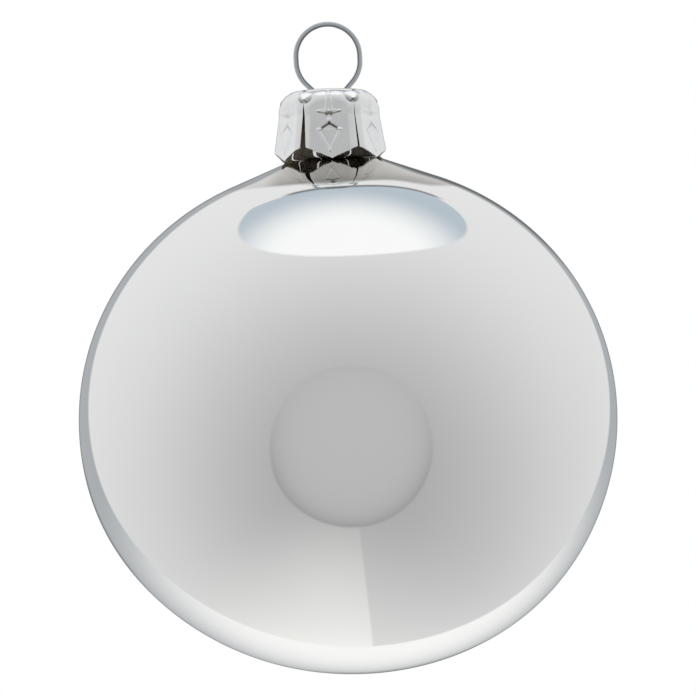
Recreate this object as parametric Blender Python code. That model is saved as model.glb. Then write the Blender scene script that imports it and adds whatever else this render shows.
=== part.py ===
"""Silvered glass ball ornament: a blown ball with an open neck, its inner mirror film, a crown cap and a wire hanger.

Metres, +Z up. The origin is the inside top of the wire loop, where a hook bears, and the ball hangs straight below it.
"""

import math

import bmesh
import bpy
from mathutils import Matrix, Vector

MM = 0.001
TURN = 2.0 * math.pi

# Spacing shared by every pair of neighbouring pieces.
GAP = 0.3 * MM

# Hanger wire: a loop a little taller than wide, a waist at the cap, and two legs that spread inside the neck.
WIRE_RADIUS = 0.375 * MM
LOOP_RADIUS = 4.75 * MM
LOOP_SIDE_LENGTH = 0.78 * MM
LOOP_EXIT_ANGLE = math.radians(43.5)
WAIST_BEND_RADIUS = 1.2 * MM
LEG_LENGTH = 15.5 * MM
LEG_SPLAY_ANGLE = math.radians(6.0)
LOOP_STEPS = 40
WAIST_STEPS = 5
WIRE_BEVEL_RESOLUTION = 2

# Glass ball: a slightly flattened, slightly full globe, a straight shoulder, and a plain neck tube.
LOOP_TO_BALL_CENTRE = 58.6 * MM
BALL_RADIUS = 40.0 * MM
BALL_UPPER_HEIGHT = 38.2 * MM
BALL_LOWER_HEIGHT = 37.8 * MM
BALL_FULLNESS = 2.03
GLASS_WALL = 0.7 * MM
SHOULDER_RADIUS = 15.4 * MM
NECK_RADIUS = 6.3 * MM
NECK_TOP = 47.3 * MM
FILLET_ALONG_SHOULDER = 2.15 * MM
FILLET_UP_NECK = 2.0 * MM
BALL_SEGMENTS = 48
GLOBE_STEPS = 12
FILLET_STEPS = 4

# Silver lining: the mirror film, drawn thick enough to be a solid, a little short of the neck's rim.
LINING_THICKNESS = 0.25 * MM
LINING_BELOW_RIM = 1.0 * MM
LINING_GLOBE_STEPS = 9

# Crown cap: a stamped cup with six tabs. Drops are measured down from its flat top.
CROWN_TOP = 49.05 * MM
CROWN_SHEET = 0.3 * MM
CROWN_WALL_RADIUS = 7.5 * MM
CROWN_EDGE_RADIUS = 3.3 * MM
CROWN_EDGE_STEPS = 5
CROWN_TABS = 6
SLIT_START_DROP = 2.3 * MM
FLARE_START_DROP = 4.0 * MM
FLARE_MIDDLE_DROP = 6.5 * MM
HEM_RADIUS = 8.3 * MM
TAB_CORNER_DROP = 8.8 * MM
TAB_TIP_DROP = 10.5 * MM
TAB_HALF_ANGLE = math.radians(27.2)
TAB_PANEL_SHARE = 0.7
SLIT_OPENING_POWER = 0.7
WIRE_HOLE_RADIUS = 1.1 * MM
WIRE_HOLE_SEGMENTS = 16

BALL_CENTRE_Z = -LOOP_TO_BALL_CENTRE
CROWN_TOP_Z = BALL_CENTRE_Z + CROWN_TOP
PIVOT_Z = CROWN_TOP_Z - CROWN_SHEET / 2.0


def clear_scene():
    for old in list(bpy.data.objects):
        bpy.data.objects.remove(old, do_unlink=True)


def finish_material(name, colour, roughness, metallic):
    """A Principled material with one colour."""
    material = bpy.data.materials.new(name)
    material.use_nodes = True
    shader = material.node_tree.nodes["Principled BSDF"]
    shader.inputs["Base Color"].default_value = (*colour, 1.0)
    shader.inputs["Roughness"].default_value = roughness
    shader.inputs["Metallic"].default_value = metallic
    material.diffuse_color = (*colour, 1.0)
    return material


def add_object(name, data, location, parent=None, material=None):
    """Link an object at a location given relative to its parent."""
    piece = bpy.data.objects.new(name, data)
    piece.parent = parent
    piece.location = location
    if material is not None:
        data.materials.append(material)
    bpy.context.collection.objects.link(piece)
    return piece


def mesh_from(bm, name, sharp_angle=None):
    """Close a bmesh into a mesh with its faces pointing out, shaded smooth below the sharp angle."""
    bmesh.ops.recalc_face_normals(bm, faces=bm.faces)
    mesh = bpy.data.meshes.new(name)
    bm.to_mesh(mesh)
    bm.free()
    if sharp_angle is not None:
        mesh.shade_smooth()
        mesh.set_sharp_from_angle(angle=sharp_angle)
    return mesh


# ---------------------------------------------------------------------------------------------------------- hanger


def arc_points(centre, radius, start, end, steps):
    """Points on an arc in the XZ plane, from the start angle to the end angle."""
    points = []
    for step in range(steps + 1):
        angle = start + (end - start) * step / steps
        points.append(centre + radius * Vector((math.cos(angle), 0.0, math.sin(angle))))
    return points


def waist_reach():
    """How far from the axis the two slanting stretches of the wire would meet the legs, at the crown's top sheet."""
    exit_reach = LOOP_RADIUS * math.cos(LOOP_EXIT_ANGLE)
    exit_height = WIRE_RADIUS - LOOP_RADIUS - LOOP_SIDE_LENGTH - LOOP_RADIUS * math.sin(LOOP_EXIT_ANGLE)
    return exit_reach - (exit_height - PIVOT_Z) * math.tan(LOOP_EXIT_ANGLE)


def right_half_of_wire():
    """The wire's centre line at +X, from the top of the loop to the end of the leg."""
    top_centre = Vector((0.0, 0.0, WIRE_RADIUS - LOOP_RADIUS))
    loop = arc_points(top_centre, LOOP_RADIUS, TURN / 4.0, 0.0, LOOP_STEPS // 4)
    low_centre = top_centre - Vector((0.0, 0.0, LOOP_SIDE_LENGTH))
    loop += arc_points(low_centre, LOOP_RADIUS, 0.0, -LOOP_EXIT_ANGLE, LOOP_STEPS // 8)
    corner = Vector((waist_reach(), 0.0, PIVOT_Z))
    bend = LOOP_EXIT_ANGLE + LEG_SPLAY_ANGLE
    middle = TURN / 2.0 + (LEG_SPLAY_ANGLE - LOOP_EXIT_ANGLE) / 2.0
    outwards = Vector((math.cos(middle), 0.0, math.sin(middle)))
    bend_centre = corner - outwards * WAIST_BEND_RADIUS / math.cos(bend / 2.0)
    waist = arc_points(bend_centre, WAIST_BEND_RADIUS, middle - bend / 2.0, middle + bend / 2.0, WAIST_STEPS)
    down_leg = Vector((math.sin(LEG_SPLAY_ANGLE), 0.0, -math.cos(LEG_SPLAY_ANGLE)))
    return loop + waist + [corner + down_leg * LEG_LENGTH]


def make_hanger(material):
    """One bent wire: the mirror image of the right half, then the right half."""
    right = right_half_of_wire()
    left = [Vector((-point.x, 0.0, point.z)) for point in reversed(right[1:])]
    path = left + right
    curve = bpy.data.curves.new("hanger_wire", "CURVE")
    curve.dimensions = "3D"
    curve.bevel_depth = WIRE_RADIUS
    curve.bevel_resolution = WIRE_BEVEL_RESOLUTION
    curve.use_fill_caps = True
    spline = curve.splines.new("POLY")
    spline.points.add(len(path) - 1)
    for point, place in zip(spline.points, path):
        point.co = (*place, 1.0)
    spline.use_smooth = True
    return add_object("hanger_wire", curve, (0.0, 0.0, 0.0), None, material)


# ------------------------------------------------------------------------------------------------------ glass ball


def globe_point(angle, inset):
    """Radius and height on the globe, from -90 degrees at the lower pole, shrunk by the inset."""
    radius = BALL_RADIUS - inset
    height = (BALL_UPPER_HEIGHT if angle > 0.0 else BALL_LOWER_HEIGHT) - inset
    power = 2.0 / BALL_FULLNESS
    out = radius * max(math.cos(angle), 0.0) ** power
    up = math.copysign(height * abs(math.sin(angle)) ** power, angle)
    return out, up


def shoulder_start():
    """The globe's angle where the straight shoulder begins."""
    return math.acos((SHOULDER_RADIUS / BALL_RADIUS) ** (BALL_FULLNESS / 2.0))


def shoulder_slope():
    """How much the outer shoulder rises for each unit towards the axis, equal to the globe's own slope there."""
    out, up = globe_point(shoulder_start(), 0.0)
    power = BALL_FULLNESS - 1.0
    steepness = (out / BALL_RADIUS) ** power / (up / BALL_UPPER_HEIGHT) ** power
    return steepness * BALL_UPPER_HEIGHT / BALL_RADIUS


def neck_fillet(start, inset):
    """The curve from the straight shoulder up into the neck tube."""
    slope = shoulder_slope()
    neck = NECK_RADIUS - inset
    corner = Vector((neck, start[1] + (start[0] - neck) * slope))
    along = Vector((1.0, -slope)).normalized()
    foot = corner + along * (FILLET_ALONG_SHOULDER + inset)
    head = corner + Vector((0.0, FILLET_UP_NECK + inset))
    points = []
    for step in range(FILLET_STEPS + 1):
        t = step / FILLET_STEPS
        points.append(foot * (1.0 - t) ** 2 + corner * 2.0 * t * (1.0 - t) + head * t * t)
    return [tuple(point) for point in points]


def shell_outline(inset, steps, top):
    """Radius and height from the lower pole over the globe, the shoulder and the fillet to the neck's top."""
    lower = [globe_point(-TURN / 4.0 * (1.0 - step / steps), inset) for step in range(steps)]
    upper = [globe_point(shoulder_start() * step / steps, inset) for step in range(steps + 1)]
    points = lower + upper
    points += neck_fillet(points[-1], inset)
    points.append((NECK_RADIUS - inset, top))
    return points


def turned_mesh(name, outline, segments):
    """A solid of revolution about Z; the outline starts and ends on the axis."""
    bm = bmesh.new()
    rings = []
    for radius, height in outline[1:-1]:
        ring = []
        for segment in range(segments):
            angle = TURN * segment / segments
            ring.append(bm.verts.new((radius * math.cos(angle), radius * math.sin(angle), height)))
        rings.append(ring)
    poles = [bm.verts.new((0.0, 0.0, outline[0][1])), bm.verts.new((0.0, 0.0, outline[-1][1]))]
    for segment in range(segments):
        after = (segment + 1) % segments
        bm.faces.new((poles[0], rings[0][after], rings[0][segment]))
        bm.faces.new((poles[1], rings[-1][segment], rings[-1][after]))
        for low, high in zip(rings, rings[1:]):
            bm.faces.new((low[segment], low[after], high[after], high[segment]))
    return mesh_from(bm, name, math.radians(50.0))


def shell_mesh(name, outer_inset, wall, steps, top):
    """An open-necked shell: up its outside, over the neck's rim and down its inside."""
    outside = shell_outline(outer_inset, steps, top)
    inside = shell_outline(outer_inset + wall, steps, top)
    return turned_mesh(name, outside + inside[::-1], BALL_SEGMENTS)


def make_glass_ball(parent, material):
    mesh = shell_mesh("glass_ball", 0.0, GLASS_WALL, GLOBE_STEPS, NECK_TOP)
    return add_object("glass_ball", mesh, (0.0, 0.0, BALL_CENTRE_Z - PIVOT_Z), parent, material)


def make_silver_lining(parent, material):
    top = NECK_TOP - LINING_BELOW_RIM
    mesh = shell_mesh("silver_lining", GLASS_WALL + GAP, LINING_THICKNESS, LINING_GLOBE_STEPS, top)
    return add_object("silver_lining", mesh, (0.0, 0.0, 0.0), parent, material)


# ------------------------------------------------------------------------------------------------------- crown cap


def crown_radius(drop):
    """Radius of the cup's creases at a drop below its flat top: a rounded edge, a straight wall, then a flare."""
    if drop < CROWN_EDGE_RADIUS:
        fall = CROWN_EDGE_RADIUS - drop
        return CROWN_WALL_RADIUS - CROWN_EDGE_RADIUS + math.sqrt(CROWN_EDGE_RADIUS**2 - fall**2)
    flare = (HEM_RADIUS - CROWN_WALL_RADIUS) / (TAB_CORNER_DROP - FLARE_START_DROP)
    return CROWN_WALL_RADIUS + flare * max(0.0, drop - FLARE_START_DROP)


def crown_drops():
    """The drop of each row of the cup above its hem."""
    drops = []
    for step in range(CROWN_EDGE_STEPS + 1):
        drops.append(CROWN_EDGE_RADIUS * (1.0 - math.cos(TURN / 4.0 * step / CROWN_EDGE_STEPS)))
    return drops + [FLARE_START_DROP, FLARE_MIDDLE_DROP, TAB_CORNER_DROP - CROWN_SHEET]


def tab_half_angle(drop):
    """Half the angle that a tab takes up: the full sixth of a turn above the slits, less below."""
    full = TURN / CROWN_TABS / 2.0
    share = max(0.0, (drop - SLIT_START_DROP) / (TAB_CORNER_DROP - SLIT_START_DROP))
    return full - (full - TAB_HALF_ANGLE) * min(1.0, share**SLIT_OPENING_POWER)


def tab_row(middle, drop, tip_drop):
    """Five points across a tab: its two side edges, the two creases of its flat panel, and the panel's middle."""
    half = tab_half_angle(drop)
    crease = half * TAB_PANEL_SHARE
    points = []
    for angle in (-half, -crease, 0.0, crease, half):
        low = drop + (tip_drop - drop) * (1.0 - abs(angle) / half)
        reach = crown_radius(low) * (math.cos(crease) if angle == 0.0 else 1.0)
        points.append((reach * math.cos(middle + angle), reach * math.sin(middle + angle), -low))
    return points


def add_tab(bm, middle):
    """One sixth of the cup, from the centre of its top to the tab's point, as a sheet."""
    rows = [tab_row(middle, drop, drop) for drop in crown_drops()]
    rows.append(tab_row(middle, TAB_CORNER_DROP, TAB_TIP_DROP))
    centre = bm.verts.new((0.0, 0.0, 0.0))
    grid = [[bm.verts.new(spot) for spot in row] for row in rows]
    for left, right in zip(grid[0], grid[0][1:]):
        bm.faces.new((centre, left, right))
    for upper, lower in zip(grid, grid[1:]):
        for column in range(len(upper) - 1):
            bm.faces.new((upper[column], lower[column], lower[column + 1], upper[column + 1]))


def add_hole_cutter(crown, side, reach):
    """A guide cylinder through the cup's top, for one leg of the hanger."""
    bm = bmesh.new()
    bmesh.ops.create_cone(
        bm,
        cap_ends=True,
        segments=WIRE_HOLE_SEGMENTS,
        radius1=WIRE_HOLE_RADIUS,
        radius2=WIRE_HOLE_RADIUS,
        depth=CROWN_SHEET * 4.0,
        matrix=Matrix.Rotation(TURN / WIRE_HOLE_SEGMENTS / 2.0, 4, "Z"),
    )
    cutter = add_object("hole_cutter_" + side, mesh_from(bm, "hole_cutter_" + side), (reach, 0.0, 0.0), crown)
    cutter.hide_render = True
    cutter.display_type = "WIRE"
    cut = crown.modifiers.new("hole_" + side, "BOOLEAN")
    cut.operation = "DIFFERENCE"
    cut.solver = "EXACT"
    cut.object = cutter


def make_crown(parent, material):
    """The stamped cup: six joined sectors given the sheet's thickness inwards, with two wire holes."""
    bm = bmesh.new()
    for tab in range(CROWN_TABS):
        add_tab(bm, TURN * (tab + 0.5) / CROWN_TABS)
    bmesh.ops.remove_doubles(bm, verts=bm.verts, dist=GAP / 100.0)
    bmesh.ops.translate(bm, verts=bm.verts, vec=(0.0, 0.0, CROWN_TOP_Z - PIVOT_Z))
    crown = add_object("crown_cap", mesh_from(bm, "crown_cap", math.radians(30.0)), (0.0, 0.0, PIVOT_Z), parent, material)
    sheet = crown.modifiers.new("sheet", "SOLIDIFY")
    sheet.thickness = CROWN_SHEET
    sheet.offset = -1.0
    sheet.use_even_offset = True
    add_hole_cutter(crown, "left", -waist_reach())
    add_hole_cutter(crown, "right", waist_reach())
    return crown


def main():
    clear_scene()
    steel = finish_material("steel_wire", (0.50, 0.53, 0.56), 0.32, 1.0)
    tinplate = finish_material("tinplate", (0.86, 0.87, 0.88), 0.18, 1.0)
    glass = finish_material("silvered_glass", (0.93, 0.94, 0.94), 0.03, 1.0)
    silver = finish_material("silver_film", (0.95, 0.95, 0.94), 0.05, 1.0)
    hanger = make_hanger(steel)
    crown = make_crown(hanger, tinplate)
    ball = make_glass_ball(crown, glass)
    make_silver_lining(ball, silver)


main()
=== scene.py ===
"""Silvered glass ball ornament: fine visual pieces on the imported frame, in a small white studio.

Metres, +Z up. The origin is the inside top of the wire loop, and the camera looks along +Y.
"""

import math
import random

import bmesh
import bpy
from mathutils import Matrix, Vector, geometry, noise


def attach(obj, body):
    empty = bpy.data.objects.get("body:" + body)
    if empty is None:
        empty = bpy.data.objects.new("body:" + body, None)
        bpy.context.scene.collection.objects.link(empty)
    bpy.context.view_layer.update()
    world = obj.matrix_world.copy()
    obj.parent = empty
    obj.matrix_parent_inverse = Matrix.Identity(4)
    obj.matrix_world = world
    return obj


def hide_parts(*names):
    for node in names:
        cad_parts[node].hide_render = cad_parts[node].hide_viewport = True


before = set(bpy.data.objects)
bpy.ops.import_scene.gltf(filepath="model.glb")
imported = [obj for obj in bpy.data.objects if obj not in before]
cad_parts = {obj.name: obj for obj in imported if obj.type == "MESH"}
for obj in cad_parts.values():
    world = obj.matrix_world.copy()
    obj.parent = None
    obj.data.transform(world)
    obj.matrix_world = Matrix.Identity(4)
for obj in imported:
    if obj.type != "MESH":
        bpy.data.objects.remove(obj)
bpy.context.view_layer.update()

MM = 0.001
TURN = 2.0 * math.pi

# Sizes that the CAD model also has.
WIRE_RADIUS = 0.375 * MM
LOOP_RADIUS = 4.75 * MM
LOOP_SIDE_LENGTH = 0.78 * MM
LOOP_EXIT_ANGLE = math.radians(43.5)
WAIST_BEND_RADIUS = 1.2 * MM
LEG_LENGTH = 15.5 * MM
LEG_SPLAY_ANGLE = math.radians(6.0)
LOOP_TO_BALL_CENTRE = 58.6 * MM
BALL_RADIUS = 40.0 * MM
BALL_UPPER_HEIGHT = 38.2 * MM
BALL_FULLNESS = 2.03
GLASS_WALL = 0.7 * MM
SHOULDER_RADIUS = 15.4 * MM
NECK_RADIUS = 6.3 * MM
NECK_TOP = 47.3 * MM
LINING_GAP = 0.3 * MM
LINING_THICKNESS = 0.25 * MM
LINING_BELOW_RIM = 1.0 * MM
CROWN_TOP = 49.05 * MM
CROWN_SHEET = 0.3 * MM
CROWN_WALL_RADIUS = 7.5 * MM
CROWN_EDGE_RADIUS = 3.3 * MM
CROWN_TABS = 6
SLIT_START_DROP = 2.3 * MM
FLARE_START_DROP = 4.0 * MM
HEM_RADIUS = 8.3 * MM
TAB_CORNER_DROP = 8.8 * MM
TAB_TIP_DROP = 10.5 * MM

# Sizes that differ a little from the CAD model's.
BALL_LOWER_HEIGHT = 37.78 * MM
FILLET_ALONG_SHOULDER = 1.5 * MM
FILLET_UP_NECK = 2.8 * MM
ROLLED_SHEET = 0.2 * MM

BALL_CENTRE_Z = -LOOP_TO_BALL_CENTRE
CROWN_TOP_Z = BALL_CENTRE_Z + CROWN_TOP
PIVOT_Z = CROWN_TOP_Z - CROWN_SHEET / 2.0


# -------------------------------------------------------------------------------------------- shader maths


class Field:
    """A number in a shader tree; arithmetic on it adds Math nodes."""

    def __init__(self, tree, socket):
        self.tree = tree
        self.socket = socket

    def maths(self, operation, *others):
        node = self.tree.nodes.new("ShaderNodeMath")
        node.operation = operation
        for slot, value in zip(node.inputs, (self, *others)):
            if isinstance(value, Field):
                self.tree.links.new(value.socket, slot)
            else:
                slot.default_value = value
        return Field(self.tree, node.outputs[0])

    def __add__(self, other):
        return self.maths("ADD", other)

    def __sub__(self, other):
        return self.maths("SUBTRACT", other)

    def __mul__(self, other):
        return self.maths("MULTIPLY", other)

    def __truediv__(self, other):
        return self.maths("DIVIDE", other)

    def __pow__(self, other):
        return self.maths("POWER", other)

    __radd__ = __add__
    __rmul__ = __mul__

    def __rsub__(self, other):
        return self * -1.0 + other

    def at_least(self, low):
        return self.maths("MAXIMUM", low)

    def at_most(self, high):
        return self.maths("MINIMUM", high)

    def step(self, low, high):
        """0 at low and 1 at high, with a smooth S between them."""
        node = self.tree.nodes.new("ShaderNodeMapRange")
        node.interpolation_type = "SMOOTHSTEP"
        self.tree.links.new(self.socket, node.inputs["Value"])
        node.inputs["From Min"].default_value = low
        node.inputs["From Max"].default_value = high
        return Field(self.tree, node.outputs["Result"])


def length(*fields):
    """The root of the sum of the squares."""
    total = fields[0] * fields[0]
    for field in fields[1:]:
        total = total + field * field
    return total**0.5


def bell(distance, width):
    """1 at distance 0, falling smoothly to nothing over a few widths."""
    share = distance / width
    return (share * share * -1.0).maths("EXPONENT")


def tinted(field, tint):
    """A colour: the tint scaled by the field."""
    node = field.tree.nodes.new("ShaderNodeVectorMath")
    node.operation = "SCALE"
    node.inputs[0].default_value = tint
    field.tree.links.new(field.socket, node.inputs["Scale"])
    return node.outputs[0]


def mixed(factor, below, above):
    """Blend from one colour socket or constant to another."""
    node = factor.tree.nodes.new("ShaderNodeMix")
    node.data_type = "RGBA"
    factor.tree.links.new(factor.socket, node.inputs["Factor"])
    for slot, colour in ((node.inputs[6], below), (node.inputs[7], above)):
        if isinstance(colour, bpy.types.NodeSocket):
            factor.tree.links.new(colour, slot)
        else:
            slot.default_value = (*colour, 1.0)
    return node.outputs[2]


def place_of(tree, space="Object"):
    """The X, Y and Z fields of a texture coordinate, and its vector socket."""
    source = tree.nodes.new("ShaderNodeTexCoord")
    split = tree.nodes.new("ShaderNodeSeparateXYZ")
    tree.links.new(source.outputs[space], split.inputs[0])
    return [Field(tree, split.outputs[axis]) for axis in range(3)], source.outputs[space]


def attribute(tree, name):
    """A point attribute's vector socket and number field."""
    node = tree.nodes.new("ShaderNodeAttribute")
    node.attribute_name = name
    return node.outputs["Vector"], Field(tree, node.outputs["Fac"])


def stretched(tree, vector, scale):
    """A coordinate scaled along each axis."""
    node = tree.nodes.new("ShaderNodeMapping")
    tree.links.new(vector, node.inputs["Vector"])
    node.inputs["Scale"].default_value = scale
    return node.outputs[0]


def cloudy(tree, vector, scale, detail=2.0, roughness=0.5):
    """A noise field from 0 to 1."""
    node = tree.nodes.new("ShaderNodeTexNoise")
    tree.links.new(vector, node.inputs["Vector"])
    node.inputs["Scale"].default_value = scale
    node.inputs["Detail"].default_value = detail
    node.inputs["Roughness"].default_value = roughness
    return Field(tree, node.outputs["Fac"])


def new_material(name):
    """A material with a Principled shader, its tree and that shader."""
    material = bpy.data.materials.new(name)
    material.use_nodes = True
    return material, material.node_tree, material.node_tree.nodes["Principled BSDF"]


def set_bump(tree, shader, height, distance):
    """Relief from a height field; distance is its full depth in metres."""
    node = tree.nodes.new("ShaderNodeBump")
    node.inputs["Distance"].default_value = distance
    tree.links.new(height.socket, node.inputs["Height"])
    tree.links.new(node.outputs[0], shader.inputs["Normal"])


# --------------------------------------------------------------------------------------- camera and studio

CAMERA_DISTANCE = 450.0 * MM
CAMERA_ROLL = math.radians(3.2)
LENS_MM = 156.145
SENSOR_MM = 36.0

# How far the ball's centre is from the middle of the view, as shares of the view's width.
BALL_RIGHT_OF_MIDDLE = 0.00014
BALL_BELOW_MIDDLE = 0.10244

FLOOR_Z = -190.0 * MM
FLOOR_RADIUS = 900.0 * MM
FLOOR_FADE = (220.0 * MM, 780.0 * MM)
FLOOR_SEGMENTS = 96
FLOOR_GREY = 0.9

PANEL_PLACE = (-50.0 * MM, -50.0 * MM, 450.0 * MM)
PANEL_SIZE = 500.0 * MM
PANEL_WATTS = 2.4


def add_camera():
    """A level view along +Y, rolled a little, that puts the ball's centre where the framing needs it."""
    data = bpy.data.cameras.new("camera")
    data.sensor_width = SENSOR_MM
    data.lens = LENS_MM
    data.clip_start = 0.01
    data.clip_end = 10.0
    data.dof.use_dof = False
    camera = bpy.data.objects.new("camera", data)
    turn = Matrix.Rotation(CAMERA_ROLL, 4, "Y") @ Matrix.Rotation(TURN / 4.0, 4, "X")
    right = turn.to_3x3() @ Vector((1.0, 0.0, 0.0))
    up = turn.to_3x3() @ Vector((0.0, 1.0, 0.0))
    width = SENSOR_MM / LENS_MM
    ahead = Vector((0.0, 1.0, 0.0)) + (right * BALL_RIGHT_OF_MIDDLE - up * BALL_BELOW_MIDDLE) * width
    eye = Vector((0.0, 0.0, BALL_CENTRE_Z)) - ahead * CAMERA_DISTANCE
    camera.matrix_world = Matrix.Translation(eye) @ turn
    bpy.context.collection.objects.link(camera)
    bpy.context.scene.camera = camera


# The studio, as levels and places in the directions that polished metal sees. About a third of these values, all
# of the wall's among them, were found by a separate program, as a least-squares fit of the same formulas to the
# photo, and then rounded. The tent's wall has a level and how that changes towards the camera, up and sideways.
WHITE = (1.0, 1.0, 1.0)
STUDIO_STRENGTH = 1.06
HORIZON_SOFTNESS = 0.05
WALL = {
    "level": 0.571,
    "front": -0.153,
    "front_curve": -0.006,
    "up": 0.104,
    "up_curve": 0.039,
    "side": -0.016,
    "side_curve": 0.067,
    "front_up": 0.0035,
    "side_up": 0.008,
}

# The lit patch of table, measured across and along the table for each unit of depth.
TABLE = {
    "level": 0.944,
    "front": 0.2,
    "front_curve": 0.231,
    "side": 0.24,
    "across": -0.115,
    "along": 0.98,
    "width": 0.518,
    "length": 1.248,
    "fade_depth": -0.25,
    "edge": 0.0915,
    "edge_slant": -0.012,
    "edge_softness": 0.0075,
    "past_edge": 0.45,
    "tint": (1.01, 1.0, 0.975),
}

# The lens's opening, on a disc that holds every direction.
PORT = {
    "x": 0.0115,
    "z": -0.0935,
    "half_width": 0.29,
    "half_height": 0.309,
    "softness": 0.02,
    "level": 0.48,
    "rim": -0.035,
    "lower_rim": -0.1,
    "up": 0.04,
    "line": 0.06,
    "line_width": 0.028,
}

# The overhead softbox, on a plane one unit above the ball.
BOX = {
    "x": 0.017,
    "y": 0.43,
    "half_width": 0.634,
    "half_length": 0.558,
    "turn": math.radians(69.2),
    "softness": 0.025,
    "back": 0.78,
    "back_rise": 0.19,
    "back_from": -0.05,
    "back_to": 0.32,
    "back_softness": 0.015,
    "line": 0.85,
    "line_gap": 0.02,
    "line_width": 0.03,
    "line_west": (-0.3, -0.22),
    "line_east": (0.42, 0.34),
    "line_colour": (0.05, 0.05, 0.055),
    "bright_y": -0.232,
    "bright_reach": 0.404,
    "dull_reach": 0.977,
    "bright": (0.94, 0.945, 0.94),
    "dull": (0.465, 0.53, 0.585),
}

# What stands behind the ball, outside a bound on the same disc as the opening.
BACKDROP = {
    "reach": 0.9575,
    "softness": 0.004,
    "shift": 0.0045,
    "lift": 0.0235,
    "lower_lift": 0.055,
    "lower_span": (0.7, -0.7),
    "slant": -0.146,
    "lit_from": -0.079,
    "lit_to": -0.807,
    "grey": (0.39, 0.41, 0.425),
    "white": (0.925, 0.92, 0.91),
}

# Dark patches at grazing angles: which way each lies on the disc, where it starts and ends, and its strength.
LIMB_PATCHES = (
    (math.radians(60.0), 0.84, 0.97, 0.62),
    (math.radians(210.0), 0.93, 0.99, 0.35),
    (math.radians(280.0), 0.93, 0.99, 0.3),
)
LIMB = {
    "span": (0.925, 0.965),
    "hub": 0.3,
    "hub_span": (0.962, 0.99),
    "edge": 0.28,
    "edge_span": (0.945, 1.0),
    "most": 0.8,
    "colour": (0.03, 0.027, 0.025),
}


def wall_tone(x, z, front):
    """The tent's wall: darkest towards the camera, lighter behind and above."""
    tone = WALL["level"] + front * WALL["front"] + front * front * WALL["front_curve"]
    tone = tone + z * WALL["up"] + z * z * WALL["up_curve"] + x * WALL["side"] + x * x * WALL["side_curve"]
    return tone + front * z * WALL["front_up"] + x * z * WALL["side_up"]


def add_table(colour, x, y, z):
    """The lit table top, which ends at a straight card edge on one side."""
    depth = (z * -1.0).at_least(1e-3)
    across = x / depth
    along = y / depth
    front = y * -1.0
    tone = TABLE["level"] + front * TABLE["front"] + front * front * TABLE["front_curve"] + x * TABLE["side"]
    spread = length((across - TABLE["across"]) / TABLE["width"], (along - TABLE["along"]) / TABLE["length"])
    share = bell(spread, 1.0) * z.step(0.0, TABLE["fade_depth"])
    past = across - along * TABLE["edge_slant"] - TABLE["edge"]
    past = past.step(-TABLE["edge_softness"], TABLE["edge_softness"])
    share = share * (1.0 - past * (1.0 - TABLE["past_edge"]))
    return mixed(share, colour, tinted(tone, TABLE["tint"]))


def add_port(colour, disc_x, disc_z):
    """The round opening that the lens looks through, darker towards its lower rim."""
    side = (disc_x - PORT["x"]) / PORT["half_width"]
    rise = (disc_z - PORT["z"]) / PORT["half_height"]
    reach = length(side, rise)
    tone = PORT["level"] + reach**4.0 * PORT["rim"] + (disc_z - PORT["z"]) * PORT["up"]
    tone = tone + reach**8.0 * (0.6 - rise).at_least(0.0).at_most(1.0) * PORT["lower_rim"]
    inside = reach.step(1.0 + PORT["softness"], 1.0 - PORT["softness"])
    colour = mixed(inside, colour, tinted(tone, WHITE))
    line = bell(reach - 1.0, PORT["line_width"]) * (0.5 - rise).at_least(0.0).at_most(2.0) * 0.5
    return mixed(line * PORT["line"], colour, (0.0, 0.0, 0.0))


def add_softbox(colour, x, y, z):
    """The round overhead softbox: white in front, blue-grey where it falls off, a dark bar at the back."""
    height = z.at_least(1e-3)
    over_x = x / height
    over_y = y / height
    above = z.step(0.0, HORIZON_SOFTNESS)
    cosine, sine = math.cos(BOX["turn"]), math.sin(BOX["turn"])
    east = (over_x - BOX["x"]) * cosine + (over_y - BOX["y"]) * sine
    north = (over_y - BOX["y"]) * cosine - (over_x - BOX["x"]) * sine
    reach = length(east / BOX["half_width"], north / BOX["half_length"])
    fall = length(over_x, over_y - BOX["bright_y"]).step(BOX["bright_reach"], BOX["dull_reach"])
    back = over_y - BOX["back"] - over_x.step(BOX["back_from"], BOX["back_to"]) * BOX["back_rise"]
    inside = reach.step(1.0 + BOX["softness"], 1.0 - BOX["softness"])
    inside = inside * back.step(BOX["back_softness"], -BOX["back_softness"]) * above
    colour = mixed(inside, colour, mixed(fall, BOX["bright"], BOX["dull"]))
    line = bell(back - BOX["line_gap"], BOX["line_width"]) * above * BOX["line"]
    line = line * over_x.step(*BOX["line_west"]) * over_x.step(*BOX["line_east"])
    return mixed(line, colour, BOX["line_colour"])


def add_backdrop(colour, x, y, z, disc_x, disc_z):
    """What stands behind the ball: grey above, lit white below, and near black at grazing angles."""
    reach = length(disc_x, disc_z).at_least(1e-4)
    side = disc_x / reach
    rise = disc_z / reach
    lift = BACKDROP["lift"] + rise.step(*BACKDROP["lower_span"]) * BACKDROP["lower_lift"]
    bound = BACKDROP["reach"] + side * BACKDROP["shift"] + rise * lift
    lit = (z + x * BACKDROP["slant"]).step(BACKDROP["lit_from"], BACKDROP["lit_to"])
    tone = mixed(lit, BACKDROP["grey"], BACKDROP["white"])
    colour = mixed((reach - bound).step(-BACKDROP["softness"], BACKDROP["softness"]), colour, tone)
    dim = 0.0
    for towards, start, end, strength in LIMB_PATCHES:
        out = disc_x * math.cos(towards) + disc_z * math.sin(towards)
        dim = out.step(start, end) * strength + dim
    hub = y.step(*LIMB["hub_span"])
    dim = dim * (1.0 - hub) + hub * LIMB["hub"]
    dim = dim * y.step(*LIMB["span"]) + y.step(*LIMB["edge_span"]) * LIMB["edge"]
    return mixed(dim.at_most(LIMB["most"]), colour, LIMB["colour"])


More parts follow.
